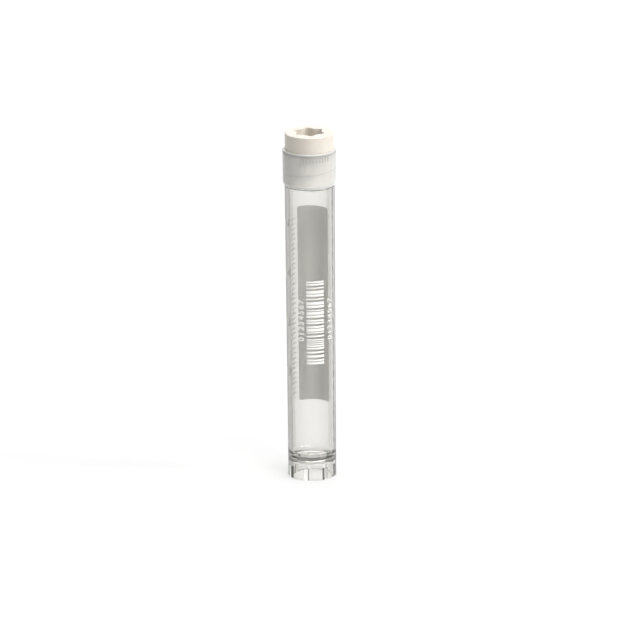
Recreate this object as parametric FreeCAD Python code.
"""Self-standing screw-cap cryogenic vial of the 5 mL class, in millimetres.

Frame: the origin is the centre of the foot's resting plane, +Z runs up the tube's axis and -Y is
the front. Angles are measured about +Z from the front (-Y), positive towards +X.

Four mouldings, one function each:
  vial_tube  clear tube: castellated foot, rounded floor, tapered body, neck with outer thread
  cap_skirt  translucent sleeve with the inner thread and a deck across its top
  cap_core   white drum with a star-shaped driver socket, and the hollow stem through the deck
  seal_ring  soft flat ring round the stem, which seals on the tube's lip
"""

import FreeCAD, Part
import math
import os

Vector = FreeCAD.Vector

# ---- tube: body and neck -----------------------------------------------------------------------
BODY_HEIGHT = 75.6          # resting plane to the shoulder
SHOULDER_RADIUS = 6.25      # outside, at the shoulder
BODY_DRAFT = 0.25           # radius lost from the shoulder down to the foot
BODY_WALL = 1.20            # at the shoulder
BORE_DRAFT = 0.12           # radius lost from the mouth down to the floor
SHOULDER_ROUND = 0.15
NECK_HEIGHT = 7.25          # shoulder to lip
NECK_WALL = 0.55
LIP_ROUND = 0.18

# ---- tube: floor and foot ----------------------------------------------------------------------
FLOOR_HEIGHT = 5.4          # resting plane to the floor's outer edge
FLOOR_CORNER = 1.65         # round between the bore and the floor
FLOOR_SAG = 0.9             # how far the dished floor drops at its centre
WEB = 0.8                   # thickness of the floor at its centre
HOLLOW_CORNER = 0.9         # round between the foot's ring and the floor's underside
FOOT_WALL = 1.2             # ring that the vial stands on
FOOT_ROUND = 0.25
SLOT_COUNT = 7
SLOT_WIDTH = 1.05
SLOT_HEIGHT = 3.0
SLOT_PHASE = -15.8          # degrees from the front to the first slot

# ---- thread, shared by the neck and the skirt --------------------------------------------------
THREAD_LEAD = 3.6
THREAD_DEPTH = 0.38
RIDGE_BASE = 1.20           # axial width of a ridge at its root
RIDGE_CREST = 0.70          # and at its crest
NECK_RIDGE_START = 1.8      # shoulder to the middle of the ridge's lower end
NECK_RIDGE_END = 1.1        # middle of its upper end to the lip
SKIRT_RIDGE_LAG = 30.0      # degrees by which the skirt's ridge starts after the neck's
THREAD_CLEARANCE = 0.12     # radial, crest to root
FLANK_CLEARANCE = 0.08      # axial, between the loaded flanks
RIDGE_ROOT_SINK = 0.15      # how far a ridge's root reaches into its wall

# ---- cap skirt ---------------------------------------------------------------------------------
SKIRT_WALL = 0.60           # outside the thread's root
SKIRT_GAP = 0.1             # above the shoulder when the cap is tight
DECK = 1.3                  # thickness across the top
SKIRT_TOP_ROUND = 0.2
SKIRT_FOOT_DEPTH = 0.42     # tapered lower edge: radial
SKIRT_FOOT_HEIGHT = 0.9     # tapered lower edge: axial
MARK_COUNT = 10             # row of short raised ticks under the rim
MARK_HEIGHT = 1.5
MARK_WIDTH = 0.34
MARK_PROUD = 0.12
MARK_STEP = 7.0             # degrees between ticks
MARK_MIDDLE = 12.5          # degrees from the front to the middle of the row
MARK_BELOW_RIM = 0.65       # top of the ticks below the skirt's top

# ---- cap core ----------------------------------------------------------------------------------
DRUM_HEIGHT = 4.25
DRUM_INSET = 0.6            # rim of the skirt left showing round the drum
DRUM_ROUND = 0.2
SOCKET_POINTS = 6
SOCKET_RADIUS = 4.3         # to the points of the star
SOCKET_POINT_DEPTH = 1.2    # points to inner corners
SOCKET_PHASE = 8.0          # degrees from the front to the nearest point
SOCKET_DEPTH = 4.15
SOCKET_POINT_ROUND = 0.6
SOCKET_CORNER_ROUND = 0.3
SOCKET_FLOOR = 1.0
STEM_CLEARANCE = 0.6        # stem in the tube's mouth, radial
STEM_WALL = 1.0
STEM_REACH = 1.8            # below the tube's lip
STEM_TAPER = 0.5            # lead-in at its lower end
STEM_BEAD = 0.2             # bead that holds the seal ring up, radial
STEM_BEAD_HEIGHT = 0.5
DECK_FIT = 0.02             # stem in the deck's hole, radial

# ---- seal ring ---------------------------------------------------------------------------------
SEAL_THICKNESS = 0.8
SEAL_STEM_FIT = 0.05        # ring on the stem, radial
SEAL_OVERLAP = 0.25         # beyond the lip's outer edge
SEAL_ROUND = 0.15

# ---- places that follow from the sizes ---------------------------------------------------------
FOOT_RADIUS = SHOULDER_RADIUS - BODY_DRAFT
BORE_MOUTH = SHOULDER_RADIUS - BODY_WALL
BORE_FLOOR = BORE_MOUTH - BORE_DRAFT
NECK_ROOT = BORE_MOUTH + NECK_WALL
NECK_CREST = NECK_ROOT + THREAD_DEPTH
SKIRT_BORE = NECK_CREST + THREAD_CLEARANCE
SKIRT_CREST = SKIRT_BORE - THREAD_DEPTH
RIDGE_TURNS = (NECK_HEIGHT - NECK_RIDGE_START - NECK_RIDGE_END) / THREAD_LEAD
SKIRT_RADIUS = SKIRT_BORE + SKIRT_WALL
DRUM_RADIUS = SKIRT_RADIUS - DRUM_INSET
STEM_RADIUS = BORE_MOUTH - STEM_CLEARANCE

LIP_Z = BODY_HEIGHT + NECK_HEIGHT
DECK_UNDER_Z = LIP_Z + SEAL_THICKNESS
SKIRT_TOP_Z = DECK_UNDER_Z + DECK
SKIRT_FOOT_Z = BODY_HEIGHT + SKIRT_GAP
DRUM_TOP_Z = SKIRT_TOP_Z + DRUM_HEIGHT
SOCKET_FLOOR_Z = DRUM_TOP_Z - SOCKET_DEPTH
STEM_END_Z = LIP_Z - STEM_REACH

OVERRUN = 1.0               # how far a cutting tool runs past the face it opens


def point(radius, height):
    """A point of a lathe section, in the XZ plane."""
    return Vector(radius, 0, height)


def lathe(section):
    """Solid of revolution about Z from a closed wire in the XZ plane."""
    return Part.Face(section).revolve(Vector(0, 0, 0), Vector(0, 0, 1), 360)


def rounded_outline(corners):
    """Closed wire through corners [(point, round radius)], each round an arc tangent to its sides."""
    count = len(corners)
    starts, ends, arcs = [], [], []
    for index, (corner, radius) in enumerate(corners):
        to_last = (corners[index - 1][0] - corner).normalize()
        to_next = (corners[(index + 1) % count][0] - corner).normalize()
        if radius <= 0:
            starts.append(corner)
            ends.append(corner)
            arcs.append(None)
            continue
        half_angle = to_last.getAngle(to_next) / 2
        setback = radius / math.tan(half_angle)
        bisector = (to_last + to_next).normalize()
        centre = corner + bisector * (radius / math.sin(half_angle))
        start, end = corner + to_last * setback, corner + to_next * setback
        arcs.append(Part.Arc(start, centre - bisector * radius, end).toShape())
        starts.append(start)
        ends.append(end)
    edges = []
    for index in range(count):
        if arcs[index]:
            edges.append(arcs[index])
        following = starts[(index + 1) % count]
        if ends[index].distanceToPoint(following) > 1e-6:
            edges.append(Part.LineSegment(ends[index], following).toShape())
    return Part.Wire(edges)


def turned(shape, degrees):
    """The shape turned about Z."""
    copy = shape.copy()
    copy.rotate(Vector(0, 0, 0), Vector(0, 0, 1), degrees)
    return copy


def block_at(angle, inner, outer, width, low, high):
    """Radial block: its long middle line lies at an angle from the front (-Y)."""
    block = Part.makeBox(outer - inner, width, high - low, Vector(inner, -width / 2, low))
    return turned(block, angle - 90)


def helical_ridge(root, crest, start_height, start_angle):
    """Trapezoidal ridge wound RIDGE_TURNS about Z, rising anticlockwise, with its root sunk a little.

    The ridge is on the outside of a wall if crest is over root, and on the inside if it is under."""
    sink = math.copysign(RIDGE_ROOT_SINK, crest - root)
    slope = (RIDGE_BASE - RIDGE_CREST) / 2 / THREAD_DEPTH
    root_half = RIDGE_BASE / 2 + slope * RIDGE_ROOT_SINK
    crest_half = RIDGE_CREST / 2
    section = Part.makePolygon([
        point(root - sink, -root_half),
        point(crest, -crest_half),
        point(crest, crest_half),
        point(root - sink, root_half),
        point(root - sink, -root_half),
    ])
    path = Part.makeHelix(THREAD_LEAD, RIDGE_TURNS * THREAD_LEAD, root)
    ridge = Part.Wire(path.Edges).makePipeShell([section], True, True)
    ridge = turned(ridge, start_angle)
    ridge.translate(Vector(0, 0, start_height))
    return ridge


def dished(edge_radius, edge_height, sag):
    """Arc of a dished floor's section, from its edge to the axis, and its point on the axis."""
    dish_radius = (edge_radius ** 2 + sag ** 2) / (2 * sag)
    middle_angle = math.asin(edge_radius / dish_radius) / 2
    centre_height = edge_height - sag + dish_radius
    middle = point(dish_radius * math.sin(middle_angle), centre_height - dish_radius * math.cos(middle_angle))
    bottom = point(0, edge_height - sag)
    return Part.Arc(point(edge_radius, edge_height), middle, bottom).toShape(), bottom


def corner_arc(start, end, centre):
    """Quarter round between two points at the same distance from its centre."""
    radius = start.distanceToPoint(centre)
    outwards = ((start + end) * 0.5 - centre).normalize()
    return Part.Arc(start, centre + outwards * radius, end).toShape()


def tube_envelope():
    """Outside of the tube as a solid of revolution: foot, tapered body, shoulder and bare neck."""
    return lathe(rounded_outline([
        (point(0, 0), 0),
        (point(FOOT_RADIUS, 0), FOOT_ROUND),
        (point(SHOULDER_RADIUS, BODY_HEIGHT), SHOULDER_ROUND),
        (point(NECK_ROOT, BODY_HEIGHT), 0),
        (point(NECK_ROOT, LIP_Z), LIP_ROUND),
        (point(0, LIP_Z), 0),
    ]))


def tube_hollow():
    """The space for the sample: drafted bore, rounded corner and dished floor, open at the lip."""
    floor_edge = BORE_FLOOR - FLOOR_CORNER
    corner_height = FLOOR_HEIGHT + FLOOR_CORNER
    floor, bottom = dished(floor_edge, FLOOR_HEIGHT, FLOOR_SAG)
    corner = corner_arc(
        point(BORE_FLOOR, corner_height), point(floor_edge, FLOOR_HEIGHT), point(floor_edge, corner_height)
    )
    mouth_low = point(BORE_MOUTH, LIP_Z - LIP_ROUND)
    mouth_high = point(BORE_MOUTH + LIP_ROUND, LIP_Z)
    mouth = corner_arc(mouth_high, mouth_low, point(BORE_MOUTH + LIP_ROUND, LIP_Z - LIP_ROUND))
    over_mouth = point(BORE_MOUTH + LIP_ROUND, LIP_Z + OVERRUN)
    over_axis = point(0, LIP_Z + OVERRUN)
    return lathe(Part.Wire([
        floor,
        Part.LineSegment(bottom, over_axis).toShape(),
        Part.LineSegment(over_axis, over_mouth).toShape(),
        Part.LineSegment(over_mouth, mouth_high).toShape(),
        mouth,
        Part.LineSegment(mouth_low, point(BORE_FLOOR, corner_height)).toShape(),
        corner,
    ]))


def foot_hollow():
    """The space inside the foot's ring, under a web that follows the dished floor."""
    ring_inner = FOOT_RADIUS - FOOT_WALL
    roof_edge = ring_inner - HOLLOW_CORNER
    roof_height = FLOOR_HEIGHT - WEB
    roof, apex = dished(roof_edge, roof_height, FLOOR_SAG)
    corner_height = roof_height - HOLLOW_CORNER
    corner = corner_arc(
        point(roof_edge, roof_height), point(ring_inner, corner_height), point(roof_edge, corner_height)
    )
    below_axis, below_ring = point(0, -OVERRUN), point(ring_inner, -OVERRUN)
    return lathe(Part.Wire([
        roof,
        Part.LineSegment(apex, below_axis).toShape(),
        Part.LineSegment(below_axis, below_ring).toShape(),
        Part.LineSegment(below_ring, point(ring_inner, corner_height)).toShape(),
        corner,
    ]))


def foot_slots():
    """Slots through the foot's ring, open at the resting plane."""
    inner = FOOT_RADIUS - FOOT_WALL - OVERRUN
    outer = SHOULDER_RADIUS + OVERRUN
    step = 360 / SLOT_COUNT
    return [
        block_at(SLOT_PHASE + step * index, inner, outer, SLOT_WIDTH, -OVERRUN, SLOT_HEIGHT)
        for index in range(SLOT_COUNT)
    ]


def vial_tube():
    """The clear moulding."""
    ridge = helical_ridge(NECK_ROOT, NECK_CREST, BODY_HEIGHT + NECK_RIDGE_START, 0)
    shell = tube_envelope().cut(tube_hollow()).cut(foot_hollow())
    return shell.cut(foot_slots()).fuse(ridge)


def flank_offset():
    """Axial distance from the middle of the neck's ridge down to that of the skirt's, cap tight."""
    slope = (RIDGE_BASE - RIDGE_CREST) / 2 / THREAD_DEPTH
    touching = (RIDGE_BASE + RIDGE_CREST) / 2 - slope * THREAD_CLEARANCE
    return touching + FLANK_CLEARANCE


def skirt_marks():
    """Row of short raised ticks on the outside of the skirt, under its rim."""
    top = SKIRT_TOP_Z - MARK_BELOW_RIM
    first = MARK_MIDDLE - MARK_STEP * (MARK_COUNT - 1) / 2
    low, outer = top - MARK_HEIGHT, SKIRT_RADIUS + OVERRUN
    blocks = [
        block_at(first + MARK_STEP * index, SKIRT_BORE, outer, MARK_WIDTH, low, top)
        for index in range(MARK_COUNT)
    ]
    band = Part.makeCylinder(SKIRT_RADIUS + MARK_PROUD, SKIRT_TOP_Z)
    core = Part.makeCylinder(SKIRT_RADIUS - MARK_PROUD, SKIRT_TOP_Z)
    return [block.common(band).cut(core) for block in blocks]


def cap_skirt():
    """The translucent sleeve: tapered lower edge, rounded rim, deck with the stem's hole, inner thread."""
    hole = STEM_RADIUS + DECK_FIT
    sleeve = lathe(rounded_outline([
        (point(SKIRT_BORE, SKIRT_FOOT_Z), 0),
        (point(SKIRT_RADIUS - SKIRT_FOOT_DEPTH, SKIRT_FOOT_Z), 0),
        (point(SKIRT_RADIUS, SKIRT_FOOT_Z + SKIRT_FOOT_HEIGHT), SKIRT_FOOT_HEIGHT),
        (point(SKIRT_RADIUS, SKIRT_TOP_Z), SKIRT_TOP_ROUND),
        (point(hole, SKIRT_TOP_Z), 0),
        (point(hole, DECK_UNDER_Z), 0),
        (point(SKIRT_BORE, DECK_UNDER_Z), 0),
    ]))
    lag_rise = THREAD_LEAD * SKIRT_RIDGE_LAG / 360
    start = BODY_HEIGHT + NECK_RIDGE_START - flank_offset() + lag_rise
    ridge = helical_ridge(SKIRT_BORE, SKIRT_CREST, start, SKIRT_RIDGE_LAG)
    return sleeve.fuse([ridge] + skirt_marks())


def star_socket():
    """Star-shaped prism: points and inner corners alternate round the axis, one point near the front."""
    half_step = math.pi / SOCKET_POINTS
    corners = []
    for index in range(2 * SOCKET_POINTS):
        is_point = index % 2 == 0
        reach = SOCKET_RADIUS if is_point else SOCKET_RADIUS - SOCKET_POINT_DEPTH
        angle = math.radians(SOCKET_PHASE) - math.pi / 2 + half_step * index
        place = Vector(reach * math.cos(angle), reach * math.sin(angle), SOCKET_FLOOR_Z)
        corners.append((place, SOCKET_POINT_ROUND if is_point else SOCKET_CORNER_ROUND))
    return Part.Face(rounded_outline(corners)).extrude(Vector(0, 0, SOCKET_DEPTH + OVERRUN))


def cap_core():
    """The white moulding: drum with its socket on the deck, and the hollow stem below with its bead."""
    bead_top = LIP_Z
    bead_radius = STEM_RADIUS + STEM_BEAD
    hollow = STEM_RADIUS - STEM_WALL
    body = lathe(rounded_outline([
        (point(0, SOCKET_FLOOR_Z - SOCKET_FLOOR), 0),
        (point(hollow, SOCKET_FLOOR_Z - SOCKET_FLOOR), 0),
        (point(hollow, STEM_END_Z), 0),
        (point(STEM_RADIUS - STEM_TAPER, STEM_END_Z), 0),
        (point(STEM_RADIUS, STEM_END_Z + STEM_TAPER), 0),
        (point(STEM_RADIUS, bead_top - STEM_BEAD_HEIGHT), 0),
        (point(bead_radius, bead_top - STEM_BEAD_HEIGHT / 2), 0),
        (point(STEM_RADIUS, bead_top), 0),
        (point(STEM_RADIUS, SKIRT_TOP_Z), 0),
        (point(DRUM_RADIUS, SKIRT_TOP_Z), 0),
        (point(DRUM_RADIUS, DRUM_TOP_Z), DRUM_ROUND),
        (point(0, DRUM_TOP_Z), 0),
    ]))
    return body.cut(star_socket())


def seal_ring():
    """The soft ring between the tube's lip and the deck."""
    inner = STEM_RADIUS + SEAL_STEM_FIT
    outer = NECK_ROOT + SEAL_OVERLAP
    return lathe(rounded_outline([
        (point(inner, LIP_Z), SEAL_ROUND),
        (point(outer, LIP_Z), SEAL_ROUND),
        (point(outer, DECK_UNDER_Z), SEAL_ROUND),
        (point(inner, DECK_UNDER_Z), SEAL_ROUND),
    ]))


def main():
    """Builds each moulding and writes it to a STEP file of its own."""
    os.makedirs("parts", exist_ok=True)
    for build in (vial_tube, cap_skirt, cap_core, seal_ring):
        shape = build()
        solid = shape.Solids[0] if len(shape.Solids) == 1 else shape
        solid.exportStep(f"parts/{build.__name__}.step")
        print(
            f"{build.__name__}: {len(shape.Solids)} solid, valid {solid.isValid()}, "
            f"{solid.Volume:.1f} mm3, height {solid.BoundBox.ZMin:.2f} to {solid.BoundBox.ZMax:.2f}"
        )


main()
